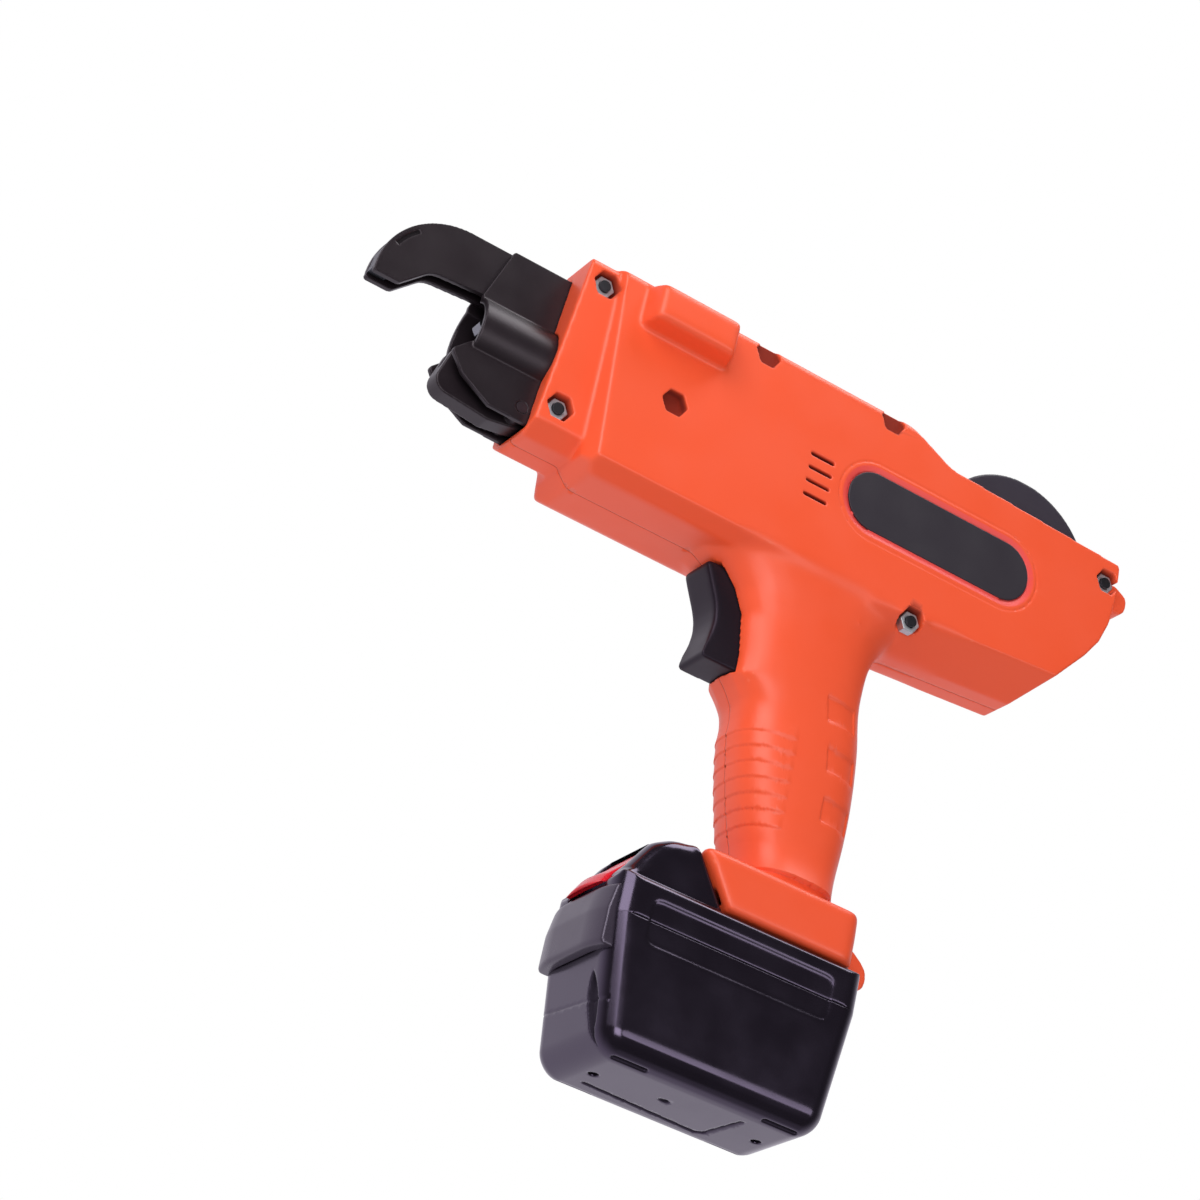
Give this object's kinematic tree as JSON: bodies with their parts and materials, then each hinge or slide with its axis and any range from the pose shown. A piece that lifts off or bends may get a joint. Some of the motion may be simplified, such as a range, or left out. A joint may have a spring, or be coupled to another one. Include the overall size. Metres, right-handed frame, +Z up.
{
  "type": "rebar tying tool",
  "caption": "Cordless pistol-grip tool that curls wire round crossed reinforcing bars with a nose arm and jaw, twists it with a spinning hook and feeds it from a rear reel.",
  "frame": {"origin": "Centre of the battery's flat base, which the tool stands on.", "axes": "+X from nose to reel, +Y to the right side across the parting plane, +Z up."},
  "size_m": [0.2985, 0.0525, 0.26],
  "materials": {
    "orange_shell": "satin moulded nylon, fine grain",
    "black_shell": "satin black moulding",
    "grey_panel": "smooth dark grey moulding",
    "red_button": "glossy red moulding",
    "black_steel": "black coated steel sheet, rubbed edges",
    "bare_steel": "turned and ground steel",
    "dark_steel": "oiled dark steel",
    "brass_part": "plain turned brass",
    "board": "green glass fibre board",
    "cell_can": "sleeved cell cans",
    "label": "bare dark label plate"
  },
  "bodies": {
    "housing": {"housing_left": "orange_shell", "housing_right": "orange_shell", "label_plate": "label", "housing_bolts": "dark_steel", "housing_nuts": "bare_steel", "nose_cover_left": "black_steel", "nose_cover_right": "black_steel", "curl_plate_left": "black_steel", "curl_plate_right": "black_steel", "curl_insert": "dark_steel", "jaw_pin": "bare_steel", "hook_bush": "brass_part", "gearbox_plate": "bare_steel", "twist_gearbox": "dark_steel", "twist_motor": "bare_steel", "cutter_block": "dark_steel", "wire_tube": "brass_part", "inlet_tube": "brass_part", "feed_bracket": "bare_steel", "feed_motor": "bare_steel", "reel_axle": "bare_steel", "trigger_switch": "black_shell", "control_board": "board", "terminal_block": "black_shell"},
    "jaw": {"lower_jaw": "black_steel"},
    "hook": {"twist_hook": "bare_steel"},
    "cutter": {"rotary_cutter": "bare_steel"},
    "drive_gear": {"feed_drive_gear": "dark_steel"},
    "idler_gear": {"feed_idler_gear": "dark_steel"},
    "reel": {"wire_reel": "black_shell", "wire_winding": "bare_steel"},
    "lever": {"reel_lever": "orange_shell"},
    "trigger_body": {"trigger": "black_shell", "trigger_spring": "bare_steel"},
    "battery": {"battery_lower_case": "black_shell", "battery_upper_case": "black_shell", "battery_front_panel": "grey_panel", "battery_cells": "cell_can", "battery_contacts": "brass_part", "battery_screws": "bare_steel", "battery_board": "board"},
    "button": {"release_button": "red_button"},
    "latch": {"release_latch": "dark_steel", "latch_spring": "bare_steel"}
  },
  "joints": [
    {"name": "jaw_swing", "type": "hinge", "parent": "housing", "child": "jaw", "pos_m": [-0.1116, 0, 0.1968], "axis": [0, -1, 0], "range_deg": [0, 20], "stiffness_Nm_per_rad": 0.4},
    {"name": "hook_spin", "type": "hinge", "parent": "housing", "child": "hook", "pos_m": [-0.1, 0, 0.218], "axis": [1, 0, 0], "continuous": true},
    {"name": "cutter_turn", "type": "hinge", "parent": "housing", "child": "cutter", "pos_m": [-0.08905, 0, 0.242], "axis": [0, 1, 0], "range_deg": [0, 30]},
    {"name": "drive_gear_spin", "type": "hinge", "parent": "housing", "child": "drive_gear", "pos_m": [0.022, 0.0081, 0.243], "axis": [0, 0, 1], "continuous": true},
    {"name": "idler_gear_spin", "type": "hinge", "parent": "housing", "child": "idler_gear", "pos_m": [0.022, -0.0081, 0.243], "axis": [0, 0, 1], "continuous": true},
    {"name": "reel_spin", "type": "hinge", "parent": "housing", "child": "reel", "pos_m": [0.0758, 0, 0.227], "axis": [0, 1, 0], "continuous": true},
    {"name": "lever_lift", "type": "hinge", "parent": "housing", "child": "lever", "pos_m": [0.1139, 0, 0.2365], "axis": [0, -1, 0], "range_deg": [0, 35], "stiffness_Nm_per_rad": 0.15},
    {"name": "trigger_pull", "type": "slide", "parent": "housing", "child": "trigger_body", "axis": [1, 0, 0], "range_m": [0, 0.005], "stiffness_N_per_m": 900, "deforming": ["trigger_spring"]},
    {"name": "battery_slide", "type": "slide", "parent": "housing", "child": "battery", "axis": [-1, 0, 0], "range_m": [0, 0.08]},
    {"name": "button_press", "type": "slide", "parent": "battery", "child": "button", "axis": [1, 0, 0], "range_m": [0, 0.0035], "stiffness_N_per_m": 1200},
    {"name": "latch_drop", "type": "slide", "parent": "battery", "child": "latch", "axis": [0, 0, -1], "range_m": [0, 0.0035], "deforming": ["latch_spring"]}
  ],
  "couplings": [
    {"joint": "idler_gear_spin", "follows": "drive_gear_spin", "ratio": -1},
    {"joint": "latch_drop", "follows": "button_press", "ratio": 1}
  ]
}
